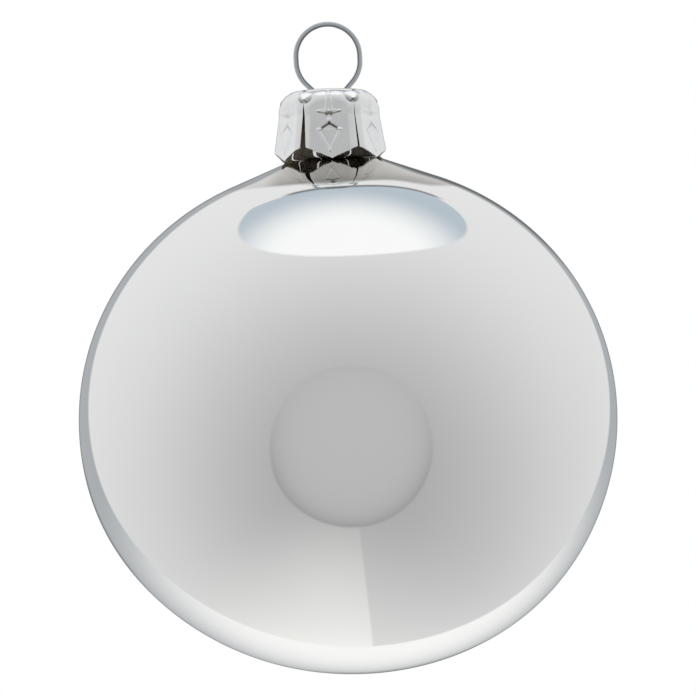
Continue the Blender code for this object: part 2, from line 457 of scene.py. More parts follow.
def studio_colour(tree):
    """What polished metal sees in each direction of the studio."""
    (x_world, y, z_world), _ = place_of(tree, "Generated")
    cosine, sine = math.cos(CAMERA_ROLL), math.sin(CAMERA_ROLL)
    x = x_world * cosine - z_world * sine
    z = x_world * sine + z_world * cosine
    spread = ((1.0 - y) * 2.0).at_least(1e-5) ** 0.5
    disc_x = x / spread
    disc_z = z / spread
    colour = tinted(wall_tone(x, z, y * -1.0), WHITE)
    colour = add_table(colour, x, y, z)
    colour = add_port(colour, disc_x, disc_z)
    colour = add_softbox(colour, x, y, z)
    return add_backdrop(colour, x, y, z, disc_x, disc_z)


def add_world():
    """Mirror and metal see the studio; the camera sees plain white."""
    world = bpy.data.worlds.new("studio")
    world.use_nodes = True
    tree = world.node_tree
    tree.nodes.clear()
    studio = tree.nodes.new("ShaderNodeBackground")
    tree.links.new(studio_colour(tree), studio.inputs["Color"])
    studio.inputs["Strength"].default_value = STUDIO_STRENGTH
    white = tree.nodes.new("ShaderNodeBackground")
    white.inputs["Color"].default_value = (1.0, 1.0, 1.0, 1.0)
    path = tree.nodes.new("ShaderNodeLightPath")
    chosen = tree.nodes.new("ShaderNodeMixShader")
    tree.links.new(path.outputs["Is Camera Ray"], chosen.inputs["Fac"])
    tree.links.new(studio.outputs[0], chosen.inputs[1])
    tree.links.new(white.outputs[0], chosen.inputs[2])
    output = tree.nodes.new("ShaderNodeOutputWorld")
    tree.links.new(chosen.outputs[0], output.inputs["Surface"])
    bpy.context.scene.world = world
    view = bpy.context.scene.view_settings
    view.view_transform = "Standard"
    view.look = "None"


def add_floor():
    """A pale table far below the ball, which fades into the white surround."""
    bm = bmesh.new()
    bmesh.ops.create_circle(bm, cap_ends=True, cap_tris=True, segments=FLOOR_SEGMENTS, radius=FLOOR_RADIUS)
    mesh = bpy.data.meshes.new("floor")
    bm.to_mesh(mesh)
    bm.free()
    floor = bpy.data.objects.new("floor", mesh)
    floor.location = (0.0, 0.0, FLOOR_Z)
    floor.visible_glossy = False
    bpy.context.collection.objects.link(floor)
    material, tree, shader = new_material("floor_paint")
    shader.inputs["Base Color"].default_value = (FLOOR_GREY, FLOOR_GREY, FLOOR_GREY, 1.0)
    shader.inputs["Roughness"].default_value = 0.9
    shader.inputs["Specular IOR Level"].default_value = 0.0
    glow = tree.nodes.new("ShaderNodeEmission")
    chosen = tree.nodes.new("ShaderNodeMixShader")
    (x, y, _), _ = place_of(tree)
    fade = length(x, y).step(*FLOOR_FADE)
    tree.links.new(fade.socket, chosen.inputs["Fac"])
    tree.links.new(shader.outputs[0], chosen.inputs[1])
    tree.links.new(glow.outputs[0], chosen.inputs[2])
    tree.links.new(chosen.outputs[0], tree.nodes["Material Output"].inputs["Surface"])
    mesh.materials.append(material)


def add_key_light():
    """A soft overhead panel that only lights the table, for a faint shadow."""
    data = bpy.data.lights.new("soft_panel", "AREA")
    data.shape = "DISK"
    data.size = PANEL_SIZE
    data.energy = PANEL_WATTS
    light = bpy.data.objects.new("soft_panel", data)
    light.location = PANEL_PLACE
    light.visible_glossy = False
    light.visible_camera = False
    bpy.context.collection.objects.link(light)


# ------------------------------------------------------------------------------------------------ finishes

SILVER = ((0.925, 0.93, 0.93), (0.945, 0.948, 0.945))

# Round the neck a brownish ring is painted into the silver's colour as a painted reflection. The edge of that
# ring wanders, reaches further out to the east and is fainter to the west, and the neck itself is left plain
# silver.
NECK_PAINTED_REFLECTION = ((0.16, 0.151, 0.132), (0.28, 0.264, 0.233))
NECK_PAINTED_REFLECTION_EDGE = 17.7 * MM
NECK_PAINTED_REFLECTION_DRIFT = 1.0 * MM
NECK_PAINTED_REFLECTION_EAST = (7.0 * MM, 15.0 * MM)
NECK_PAINTED_REFLECTION_EAST_REACH = 2.2 * MM
NECK_PAINTED_REFLECTION_WEST = (-7.5 * MM, -11.0 * MM)
NECK_PAINTED_REFLECTION_WEST_LOSS = 0.5
NECK_PAINTED_REFLECTION_SOFTNESS = (-0.5 * MM, 0.7 * MM)
NECK_PAINTED_REFLECTION_INWARD = (0.5 * MM, 5.0 * MM)
NECK_PAINTED_REFLECTION_INNER_EDGE = (6.6 * MM, 8.2 * MM)


def neck_painted_reflection(tree, x, y, z, place):
    """The painted reflection round the neck: how much of it shows, and its colour."""
    drift = (cloudy(tree, place, 55.0, 2.0, 0.5) - 0.5) * NECK_PAINTED_REFLECTION_DRIFT
    radius = length(x, y)
    inward = drift + NECK_PAINTED_REFLECTION_EDGE + x.step(*NECK_PAINTED_REFLECTION_EAST) * NECK_PAINTED_REFLECTION_EAST_REACH - radius
    share = inward.step(*NECK_PAINTED_REFLECTION_SOFTNESS) * z.step(BALL_CENTRE_Z, BALL_CENTRE_Z + BALL_RADIUS / 2.0)
    share = share * (1.0 - x.step(*NECK_PAINTED_REFLECTION_WEST) * NECK_PAINTED_REFLECTION_WEST_LOSS)
    share = share * radius.step(*NECK_PAINTED_REFLECTION_INNER_EDGE)
    return share, mixed(inward.step(*NECK_PAINTED_REFLECTION_INWARD), *NECK_PAINTED_REFLECTION)


def mirror_glass():
    """Clear blown glass over silver: a mirror with a glossy skin, faint swirls, fine haze and a painted
    reflection round the neck.
    """
    material, tree, shader = new_material("silvered_glass_fine")
    (x, y, z), place = place_of(tree)
    swirl = cloudy(tree, stretched(tree, place, (1.0, 1.0, 0.45)), 60.0, 3.0, 0.45)
    # Painted reflection: a brownish ring laid into the silver's colour round the neck.
    neck_reflection_share, neck_reflection_colour = neck_painted_reflection(tree, x, y, z, place)
    silver = mixed(neck_reflection_share, mixed(swirl.step(0.2, 0.8), *SILVER), neck_reflection_colour)
    tree.links.new(silver, shader.inputs["Base Color"])
    shader.inputs["Metallic"].default_value = 1.0
    haze = cloudy(tree, place, 420.0, 3.0, 0.6)
    gloss = haze.step(0.35, 0.9) * 0.018 + 0.012
    tree.links.new(gloss.socket, shader.inputs["Roughness"])
    shader.inputs["Coat Weight"].default_value = 1.0
    shader.inputs["Coat Roughness"].default_value = 0.0
    shader.inputs["Coat IOR"].default_value = 1.5
    set_bump(tree, shader, swirl, 0.002 * MM)
    return material


def cut_glass():
    """The neck's cracked-off rim: greenish glass with a fine frosted break."""
    material, tree, shader = new_material("cut_glass_rim")
    _, place = place_of(tree)
    grain = cloudy(tree, place, 2600.0, 4.0, 0.6)
    tree.links.new(mixed(grain, (0.62, 0.72, 0.68), (0.86, 0.92, 0.89)), shader.inputs["Base Color"])
    tree.links.new((grain * 0.4 + 0.2).socket, shader.inputs["Roughness"])
    set_bump(tree, shader, grain, 0.05 * MM)
    return material


def silver_film():
    """The deposited silver: bright, with soft tarnish clouds and drying runs."""
    material, tree, shader = new_material("silver_film_fine")
    _, place = place_of(tree)
    clouds = cloudy(tree, place, 90.0, 5.0, 0.6)
    runs = cloudy(tree, stretched(tree, place, (1.0, 1.0, 0.08)), 420.0, 3.0, 0.5)
    tarnish = (clouds * 0.6 + runs * 0.4).step(0.5, 0.72)
    tree.links.new(mixed(tarnish, (0.94, 0.94, 0.93), (0.72, 0.69, 0.62)), shader.inputs["Base Color"])
    shader.inputs["Metallic"].default_value = 1.0
    tree.links.new((tarnish * 0.25 + 0.05).socket, shader.inputs["Roughness"])
    set_bump(tree, shader, runs, 0.004 * MM)
    return material


BRIGHT_TIN = ((0.96, 0.965, 0.97), (0.90, 0.91, 0.925))
DULL_TIN = ((0.66, 0.60, 0.52), (0.50, 0.44, 0.36))
# Painted shade, near black, for the stamped creases and the moats round the pleats.
CREASE_SHADE = (0.05, 0.048, 0.045)


def tinplate(name, tones, base_roughness, metallic):
    """Rolled tinplate: lengthwise rolling lines, soft wear, and painted shade, near black, in the stamped
    creases.
    """
    material, tree, shader = new_material(name)
    shader.inputs["Metallic"].default_value = metallic
    flat, _ = attribute(tree, "sheet")
    _, crease = attribute(tree, "crease")
    lines = cloudy(tree, stretched(tree, flat, (9000.0, 500.0, 500.0)), 1.0, 2.0, 0.5)
    blotch = cloudy(tree, stretched(tree, flat, (500.0, 420.0, 500.0)), 1.0, 4.0, 0.6)
    tone = mixed(blotch.step(0.3, 0.75), *tones)
    # Painted shade: the creases darken the tin towards near black.
    tone = mixed(crease.at_least(0.0).at_most(1.0), tone, CREASE_SHADE)
    tree.links.new(tone, shader.inputs["Base Color"])
    rough = blotch * 0.08 + lines * 0.06 + (base_roughness - 0.06) + crease.at_least(0.0) * 0.25
    tree.links.new(rough.socket, shader.inputs["Roughness"])
    set_bump(tree, shader, lines * 0.5 + blotch * 0.5, 0.006 * MM)
    return material


STEEL = ((0.46, 0.49, 0.51), (0.70, 0.73, 0.76))
STEEL_RUBS = (0.36, 0.37, 0.39)
# Painted shade for the wire's inward side.
STEEL_INNER_SHADE = (0.10, 0.11, 0.125)


def drawn_steel():
    """Drawn steel wire: marks along its length, darker rubs, and painted shade on the side that faces inwards.
    """
    material, tree, shader = new_material("drawn_steel_wire")
    marks_at, _ = attribute(tree, "wire")
    split = tree.nodes.new("ShaderNodeSeparateXYZ")
    tree.links.new(marks_at, split.inputs[0])
    inner = Field(tree, split.outputs[0]).step(-0.15, -0.6)
    marks = cloudy(tree, stretched(tree, marks_at, (7.0, 7.0, 120.0)), 1.0, 3.0, 0.6)
    rubs = cloudy(tree, stretched(tree, marks_at, (1.2, 1.2, 600.0)), 1.0, 2.0, 0.5)
    tone = mixed(marks.step(0.25, 0.8), *STEEL)
    tone = mixed(rubs.step(0.58, 0.8) * 0.5, tone, STEEL_RUBS)
    # Painted shade: the side of the wire that faces inwards is darkened.
    tone = mixed(inner * 0.75, tone, STEEL_INNER_SHADE)
    tree.links.new(tone, shader.inputs["Base Color"])
    shader.inputs["Metallic"].default_value = 1.0
    tree.links.new((marks * 0.12 + 0.10).socket, shader.inputs["Roughness"])
    set_bump(tree, shader, marks, 0.008 * MM)
    return material


# ----------------------------------------------------------------------------------------- shared geometry


def add_piece(name, bm, materials, body, node, sharp=math.radians(45.0)):
    """Finish a mesh as the visual piece that stands for one CAD node."""
    bmesh.ops.recalc_face_normals(bm, faces=bm.faces)
    mesh = bpy.data.meshes.new(name)
    bm.to_mesh(mesh)
    bm.free()
    for material in materials:
        mesh.materials.append(material)
    mesh.shade_smooth()
    mesh.set_sharp_from_angle(angle=sharp)
    piece = bpy.data.objects.new(name, mesh)
    bpy.context.collection.objects.link(piece)
    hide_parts(node)
    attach(piece, body)


def smoothstep(value, low, high):
    """0 at low and 1 at high, with a smooth S between them."""
    share = min(1.0, max(0.0, (value - low) / (high - low)))
    return share * share * (3.0 - 2.0 * share)


# ---------------------------------------------------------------------------------------------- glass ball

BALL_SEGMENTS = 256
GLOBE_ROWS = 74
INSIDE_ROW_SHARE = 0.4
FILLET_ROWS = 10
NECK_ROWS = 5
RIM_ROWS = 4
SHOULDER_ROWS = 6
LINING_SEGMENTS = 128
LINING_ROWS = 36

# The free-blown shape: soft waves that pull the glass in, and a side that sags below the middle.
BLOWN_WAVE = 0.012 * MM
BLOWN_WAVE_LENGTH = 26.0 * MM
SAG = 0.021
SAG_SPAN = (8.0 * MM, 34.0 * MM)


def globe_point(angle, inset):
    """Radius and height on the globe, from -90 degrees at the lower pole, shrunk by the inset."""
    radius = BALL_RADIUS - inset
    height = (BALL_UPPER_HEIGHT if angle > 0.0 else BALL_LOWER_HEIGHT) - inset
    power = 2.0 / BALL_FULLNESS
    out = radius * max(math.cos(angle), 0.0) ** power
    up = math.copysign(height * abs(math.sin(angle)) ** power, angle)
    return out, up


def shoulder_start():
    """The globe's angle where the straight shoulder begins."""
    return math.acos((SHOULDER_RADIUS / BALL_RADIUS) ** (BALL_FULLNESS / 2.0))


def shoulder_slope():
    """How much the outer shoulder rises for each unit towards the axis."""
    out, up = globe_point(shoulder_start(), 0.0)
    power = BALL_FULLNESS - 1.0
    steepness = (out / BALL_RADIUS) ** power / (up / BALL_UPPER_HEIGHT) ** power
    return steepness * BALL_UPPER_HEIGHT / BALL_RADIUS


def neck_fillet(start, inset, rows):
    """The curve from the straight shoulder up into the neck tube."""
    slope = shoulder_slope()
    neck = NECK_RADIUS - inset
    corner = Vector((neck, start[1] + (start[0] - neck) * slope))
    along = Vector((1.0, -slope)).normalized()
    foot = corner + along * (FILLET_ALONG_SHOULDER + inset)
    head = corner + Vector((0.0, FILLET_UP_NECK + inset))
    points = []
    for row in range(rows + 1):
        t = row / rows
        points.append(tuple(foot * (1.0 - t) ** 2 + corner * 2.0 * t * (1.0 - t) + head * t * t))
    return points


def shell_outline(inset, rows, top):
    """Radius and height from the lower pole over the globe, shoulder and fillet to near the neck's top."""
    lower = [globe_point(-TURN / 4.0 * (1.0 - row / rows), inset) for row in range(rows)]
    upper = [globe_point(shoulder_start() * row / rows, inset) for row in range(rows + 1)]
    fillet = neck_fillet(upper[-1], inset, FILLET_ROWS)
    shoulder = []
    for row in range(1, SHOULDER_ROWS):
        shoulder.append(tuple(Vector(upper[-1]).lerp(Vector(fillet[0]), row / SHOULDER_ROWS)))
    points = lower + upper + shoulder + fillet
    for row in range(1, NECK_ROWS + 1):
        points.append((NECK_RADIUS - inset, fillet[-1][1] + (top - fillet[-1][1]) * row / NECK_ROWS))
    return points


def blown(place):
    """Move a place on the turned shape to where the free-blown glass has it."""
    wave = 0.5 + 0.5 * noise.noise(place / BLOWN_WAVE_LENGTH)
    sag = SAG * place.x * smoothstep(-place.z, *SAG_SPAN)
    return place * (1.0 - BLOWN_WAVE / BALL_RADIUS * wave) - Vector((0.0, 0.0, sag))


def turned(outline, segments, rim_span=None):
    """A blown surface of revolution; rim_span picks the rows that get the second material."""
    bm = bmesh.new()
    rings = []
    for radius, height in outline[1:-1]:
        ring = []
        for segment in range(segments):
            angle = TURN * segment / segments
            place = Vector((radius * math.cos(angle), radius * math.sin(angle), height))
            ring.append(bm.verts.new(blown(place)))
        rings.append(ring)
    ends = (outline[0][1], outline[-1][1])
    poles = [bm.verts.new(blown(Vector((0.0, 0.0, height)))) for height in ends]
    for segment in range(segments):
        after = (segment + 1) % segments
        bm.faces.new((poles[0], rings[0][after], rings[0][segment]))
        bm.faces.new((poles[1], rings[-1][segment], rings[-1][after]))
        for row, (low, high) in enumerate(zip(rings, rings[1:])):
            face = bm.faces.new((low[segment], low[after], high[after], high[segment]))
            if rim_span and rim_span[0] <= row < rim_span[1]:
                face.material_index = 1
    bmesh.ops.translate(bm, verts=bm.verts, vec=(0.0, 0.0, BALL_CENTRE_Z))
    return bm


def add_ball():
    """The blown ball: its outside, a rounded cut rim, and its inside."""
    edge = GLASS_WALL / 2.0
    outside = shell_outline(0.0, GLOBE_ROWS, NECK_TOP - edge)
    rim = []
    for row in range(1, RIM_ROWS * 2):
        angle = TURN / 2.0 * row / (RIM_ROWS * 2)
        rim.append((NECK_RADIUS - edge + edge * math.cos(angle), NECK_TOP - edge + edge * math.sin(angle)))
    inside = shell_outline(GLASS_WALL, int(GLOBE_ROWS * INSIDE_ROW_SHARE), NECK_TOP - edge)
    start = len(outside) - 2
    span = (start, start + len(rim) + 1)
    bm = turned(outside + rim + inside[::-1], BALL_SEGMENTS, span)
    add_piece("blown_glass_ball", bm, [mirror_glass(), cut_glass()], "ball", "glass_ball")


def add_lining():
    """The silver film on the inside of the glass."""
    inset = GLASS_WALL + LINING_GAP
    top = NECK_TOP - LINING_BELOW_RIM
    outside = shell_outline(inset, LINING_ROWS, top)
    inside = shell_outline(inset + LINING_THICKNESS, LINING_ROWS, top)
    bm = turned(outside + inside[::-1], LINING_SEGMENTS)
    add_piece("silver_film_shell", bm, [silver_film()], "ball", "silver_lining")


# -------------------------------------------------------------------------------------------------- hanger

WIRE_SIDES = 24
LOOP_ROWS = 96
WAIST_ROWS = 16
LEG_ROWS = 40
WIRE_END_CHAMFER = 0.12 * MM


def arc_points(centre, radius, start, end, steps):
    """Points along an arc in the XZ plane."""
    points = []
    for step in range(steps + 1):
        angle = start + (end - start) * step / steps
        points.append(centre + radius * Vector((math.cos(angle), 0.0, math.sin(angle))))
    return points


def waist_reach():
    """How far from the axis the slanting stretches of the wire meet the legs, at the cap's top sheet."""
    exit_reach = LOOP_RADIUS * math.cos(LOOP_EXIT_ANGLE)
    exit_height = WIRE_RADIUS - LOOP_RADIUS - LOOP_SIDE_LENGTH - LOOP_RADIUS * math.sin(LOOP_EXIT_ANGLE)
    return exit_reach - (exit_height - PIVOT_Z) * math.tan(LOOP_EXIT_ANGLE)


def right_half_of_wire():
    """The wire's middle line from the top of the loop down to the end of the right leg."""
    top_centre = Vector((0.0, 0.0, WIRE_RADIUS - LOOP_RADIUS))
    low_centre = top_centre - Vector((0.0, 0.0, LOOP_SIDE_LENGTH))
    loop = arc_points(top_centre, LOOP_RADIUS, TURN / 4.0, 0.0, LOOP_ROWS // 4)
    loop += arc_points(low_centre, LOOP_RADIUS, 0.0, -LOOP_EXIT_ANGLE, LOOP_ROWS // 8)
    corner = Vector((waist_reach(), 0.0, PIVOT_Z))
    bend = LOOP_EXIT_ANGLE + LEG_SPLAY_ANGLE
    middle = TURN / 2.0 + (LEG_SPLAY_ANGLE - LOOP_EXIT_ANGLE) / 2.0
    outwards = Vector((math.cos(middle), 0.0, math.sin(middle)))
    bend_centre = corner - outwards * WAIST_BEND_RADIUS / math.cos(bend / 2.0)
    waist = arc_points(bend_centre, WAIST_BEND_RADIUS, middle - bend / 2.0, middle + bend / 2.0, WAIST_ROWS)
    down_leg = Vector((math.sin(LEG_SPLAY_ANGLE), 0.0, -math.cos(LEG_SPLAY_ANGLE)))
    end = corner + down_leg * LEG_LENGTH
    leg = [waist[-1].lerp(end, row / LEG_ROWS) for row in range(1, LEG_ROWS + 1)]
    return loop + waist + leg


def join_rings(bm, first, second):
    """Faces between two rings with the same number of vertices."""
    for corner in range(len(first)):
        after = (corner + 1) % len(first)
        bm.faces.new((first[corner], first[after], second[after], second[corner]))


def cut_wire_end(bm, layer, ring, inner):
    """Close the end of the wire with a chamfered flat face; inner is the path's point before the end."""
    middle = sum((vert.co for vert in ring), Vector()) / WIRE_SIDES
    outward = (middle - inner).normalized()
    face_ring = []
    for vert in ring:
        copy = bm.verts.new(middle + (vert.co - middle) * (1.0 - WIRE_END_CHAMFER / WIRE_RADIUS))
        copy[layer] = vert[layer]
        face_ring.append(copy)
        vert.co = vert.co - outward * WIRE_END_CHAMFER
    join_rings(bm, ring, face_ring)
    bm.faces.new(face_ring)


def add_hanger():
    """One bent wire with cut ends, swept along the loop, the waist and the two legs."""
    right = right_half_of_wire()
    path = [Vector((-point.x, 0.0, point.z)) for point in reversed(right[1:])] + right
    bm = bmesh.new()
    layer = bm.verts.layers.float_vector.new("wire")
    side = Vector((0.0, 1.0, 0.0))
    rings = []
    travelled = 0.0
    last = len(path) - 1
    for index, point in enumerate(path):
        ahead = (path[min(index + 1, last)] - path[max(index - 1, 0)]).normalized()
        outward = ahead.cross(side)
        if index:
            travelled += (point - path[index - 1]).length
        ring = []
        for corner in range(WIRE_SIDES):
            angle = TURN * corner / WIRE_SIDES
            offset = outward * math.cos(angle) + side * math.sin(angle)
            vert = bm.verts.new(point + offset * WIRE_RADIUS)
            vert[layer] = Vector((math.cos(angle), math.sin(angle), travelled))
            ring.append(vert)
        rings.append(ring)
    cut_wire_end(bm, layer, rings[0], path[1])
    cut_wire_end(bm, layer, rings[-1], path[-2])
    for ring, following in zip(rings, rings[1:]):
        join_rings(bm, ring, following)
    add_piece("bent_wire_hanger", bm, [drawn_steel()], "hanger", "hanger_wire")


# ----------------------------------------------------------------------------------------------- crown cap

TAB_COLUMNS = 80
EDGE_ROWS = 20
WALL_ROWS = 60
EDGE_TIGHTNESS = 0.2
EDGE_TIGHT_SPAN = (math.radians(13.0), math.radians(27.0))
PANEL_HALF_ANGLE = math.radians(21.0)
FACET_SPAN = (1.2 * MM, 4.2 * MM)
RELIEF_START = 0.4 * MM
HEM_SPREAD = 2.2 * MM
HEM_LEAN = 0.05 * MM
HEM_NICK = 0.06 * MM
HEM_NICK_DENSITY = 40.0
TEXTURE_STEP = 20.0 * MM

# The flat top, with a faint ray towards each tab and a dimple round each of its two wire holes.
TOP_RINGS = 13
TOP_RING_POINTS = 18
RAY_HEIGHT = 0.05 * MM
RAY_HALF_WIDTH = 0.34 * MM
RAY_FLANK = 0.16 * MM
RAY_START = (0.8 * MM, 1.4 * MM)
RAY_FADE = 0.5 * MM
DIMPLE_DEPTH = 0.10 * MM
DIMPLE_WIDTH = 0.3 * MM
HOLE_RADIUS = 0.85 * MM
HOLE_SHIFT = 0.1 * MM
HOLE_SEGMENTS = 28
HOLE_LIP_RINGS = 3
HOLE_LIP_STEP = 0.14 * MM
HOLE_CLEARANCE = 0.5 * MM
PLAN_TOLERANCE = 1e-7
WELD_DISTANCE = 0.002 * MM

# How the fitted cap sits on the neck.
CROWN_LEAN = math.radians(1.3)
CROWN_SHIFT = -0.21 * MM

# One value for each tab, counted from +X: how dark the painted shade in its creases is, how crisp its stamping
# is, and how much shorter its tip is where the leaning cap would press it on the glass.
TAB_CREASE_SHADE = (0.3, 0.35, 0.5, 0.3, 1.0, 0.3)
TAB_STAMP = (0.8, 0.8, 0.8, 0.5, 1.0, 0.55)
TAB_TRIMS = (0.2 * MM, 0.0, 0.0, 0.0, 0.0, 0.2 * MM)

# One value for each slit, counted from +X: its opening at the hem, how far its middle strays, and the
# strength and tilt of the pleat at its head.
SLIT_WIDTHS = [math.radians(angle) for angle in (5.0, 3.4, 5.2, 7.0, 6.6, 2.4)]
SLIT_SHIFTS = [math.radians(angle) for angle in (0.4, -0.6, 0.5, -0.3, 1.1, 0.7)]
SLIT_OPENING_POWER = 0.75
PLEAT_STRENGTHS = (0.4, 0.8, 0.9, 0.4, 1.0, 1.0)
PLEAT_TILTS = (0.1, -0.15, 0.12, -0.1, 0.24, -0.24)
PLEAT_DROP = 1.25 * MM


def edge_arc(turn, local):
    """Radius, drop and normal on the rounded edge, which is tighter in the middle of a tab."""
    power = 2.0 + EDGE_TIGHTNESS * (1.0 - smoothstep(abs(local), *EDGE_TIGHT_SPAN))
    out = math.sin(turn) ** (2.0 / power)
    up = max(0.0, math.cos(turn)) ** (2.0 / power)
    normal = Vector((out ** (power - 1.0), up ** (power - 1.0))).normalized()
    radius = CROWN_WALL_RADIUS - CROWN_EDGE_RADIUS + CROWN_EDGE_RADIUS * out
    return radius, CROWN_EDGE_RADIUS * (1.0 - up), normal


def crown_radius(drop):
    """Radius of the cup at a drop below its flat top: a rounded edge, a straight wall, then a flare."""
    if drop < CROWN_EDGE_RADIUS:
        fall = CROWN_EDGE_RADIUS - drop
        return CROWN_WALL_RADIUS - CROWN_EDGE_RADIUS + math.sqrt(max(0.0, CROWN_EDGE_RADIUS**2 - fall**2))
    flare = (HEM_RADIUS - CROWN_WALL_RADIUS) / (TAB_CORNER_DROP - FLARE_START_DROP)
    return CROWN_WALL_RADIUS + flare * max(0.0, drop - FLARE_START_DROP)


def to_segment(x, y, start, end):
    """Distance from a point to a segment, and how far along it the nearest point is."""
    dx, dy = end[0] - start[0], end[1] - start[1]
    t = ((x - start[0]) * dx + (y - start[1]) * dy) / (dx * dx + dy * dy)
    t = min(1.0, max(0.0, t))
    return math.hypot(x - start[0] - dx * t, y - start[1] - dy * t), t


def ridge(distance, width):
    """1 at distance 0, falling smoothly to nothing over a few widths."""
    return math.exp(-((distance / width) ** 2))


# The stamped pattern on a tab, in millimetres across from its middle and down from the crown's top. A fading
# spire stands on two star arms, over a small and a large chevron with a button between them, and a kite.
SPIRE = ((0.0, 0.4), (0.0, 3.6))
SPIRE_HALF_WIDTHS = (0.30, 0.66)
SPIRE_HEIGHT = 0.14
STAR_ARMS = (((-0.25, 3.62), (-1.75, 3.5)), ((0.25, 3.62), (1.75, 3.5)))
STAR_HALF_WIDTH = 0.42
STAR_TAPER = 0.7
STAR_HEIGHT = 0.20
SMALL_CHEVRON = (((0.0, 3.8), (-0.38, 4.15)), ((0.0, 3.8), (0.38, 4.15)))
LARGE_CHEVRON = (((0.0, 5.35), (-1.02, 6.0)), ((0.0, 5.35), (1.02, 6.0)))
BUTTON_DOWN = 4.85
BUTTON_WIDTH = 0.27
BUTTON_HEIGHT = 0.22
KITE_HALF_WIDTH = 1.66
KITE_HEAD = 6.25
KITE_TIP = 9.35
KITE_SIDES = tuple(((side * KITE_HALF_WIDTH, KITE_HEAD), (0.0, KITE_TIP)) for side in (-1.0, 1.0))
KITE_TOPS = tuple(((side * KITE_HALF_WIDTH, KITE_HEAD), (side * 1.1, 6.2)) for side in (-1.0, 1.0))
KITE_FLOOR_HEIGHT = 0.03
KITE_FLOOR_EDGE = 0.25

# Each group of lines: its strokes, height and width, and how strong the painted shade along it is and how wide
# that spreads.
STROKES = (
    (SMALL_CHEVRON, -0.10, 0.12, 0.75, 0.13),
    (LARGE_CHEVRON, -0.16, 0.15, 1.0, 0.2),
    (KITE_SIDES + KITE_TOPS, 0.17, 0.15, 0.0, 0.15),
)


def spire_relief(across, down):
    """The tall spire that widens downwards, from near the crown's edge to the star."""
    _, along = to_segment(across, down, *SPIRE)
    top, foot = SPIRE_HALF_WIDTHS
    flank = smoothstep(top + (foot - top) * along - abs(across), 0.0, 0.16)
    return SPIRE_HEIGHT * flank * smoothstep(down, 0.2, 0.9) * smoothstep(3.9 - down, 0.0, 0.3)


def kite_floor(across, down):
    """The faintly raised field inside the kite."""
    half_width = KITE_HALF_WIDTH * (KITE_TIP - down) / (KITE_TIP - KITE_HEAD)
    if down <= KITE_TOPS[0][1][1] or abs(across) >= half_width:
        return 0.0
    distance = min(to_segment(across, down, *side)[0] for side in KITE_SIDES)
    return KITE_FLOOR_HEIGHT * smoothstep(distance, 0.0, KITE_FLOOR_EDGE)


def stamped(across, down):
    """Relief in metres and the strength of the painted shade in the crease, at a place on a tab given in
    millimetres.
    """
    relief = spire_relief(across, down) + kite_floor(across, down)
    relief += BUTTON_HEIGHT * ridge(math.hypot(across, down - BUTTON_DOWN), BUTTON_WIDTH)
    crease_shade = 0.0
    for arm in STAR_ARMS:
        distance, along = to_segment(across, down, *arm)
        half_width = STAR_HALF_WIDTH * (1.0 - STAR_TAPER * along)
        relief += STAR_HEIGHT * smoothstep(half_width - distance, -0.06, 0.14)
    for strokes, height, width, shade_share, shade_share_width in STROKES:
        for stroke in strokes:
            distance, _ = to_segment(across, down, *stroke)
            relief += height * ridge(distance, width)
            # Painted shade: the recessed chevrons are darkened along their lines.
            crease_shade = max(crease_shade, shade_share * ridge(distance, shade_share_width))
    return relief * MM, crease_shade


def slit_share(drop):
    """How much of its opening a slit has at a drop."""
    share = max(0.0, (drop - SLIT_START_DROP) / (TAB_CORNER_DROP - SLIT_START_DROP))
    return min(1.0, share**SLIT_OPENING_POWER)


def tab_edges(tab, drop):
    """The two angles that a tab spans at a drop."""
    share = slit_share(drop)
    step = TURN / CROWN_TABS
    after = (tab + 1) % CROWN_TABS
    low = step * tab + (SLIT_SHIFTS[tab] + SLIT_WIDTHS[tab] / 2.0) * share
    high = step * (tab + 1) + (SLIT_SHIFTS[after] - SLIT_WIDTHS[after] / 2.0) * share
    return low, high


PLEAT_HALF_SIZE = (0.80, 0.72)
PLEAT_MOAT_REACH = 1.25
PLEAT_MOAT_WIDTH = 0.25
PLEAT_MOAT_DEPTH = 0.18
# Painted shadow in the moat round each pleat.
PLEAT_CREASE_SHADE = 0.6


def pleat(angle, drop):
    """Relief in metres and painted shade of the gathered lump at the head of each slit: a small facet with a
    moat, darkened as shadow.
    """
    step = TURN / CROWN_TABS
    off = (angle + step / 2.0) % step - step / 2.0
    slit = round(angle / step) % CROWN_TABS
    across = off * crown_radius(drop) / MM
    down = (drop - PLEAT_DROP) / MM
    reach = math.hypot(across / PLEAT_HALF_SIZE[0], down / PLEAT_HALF_SIZE[1])
    facet = 0.26 - PLEAT_TILTS[slit] * across + across**2 / 14.0 + 0.16 * down + down**2 / 6.6
    lump = facet * smoothstep(1.15 - reach, 0.0, 0.35)
    moat = ridge(reach - PLEAT_MOAT_REACH, PLEAT_MOAT_WIDTH) * smoothstep(down, -0.5, 0.6)
    return (lump - PLEAT_MOAT_DEPTH * moat) * MM * PLEAT_STRENGTHS[slit], PLEAT_CREASE_SHADE * moat


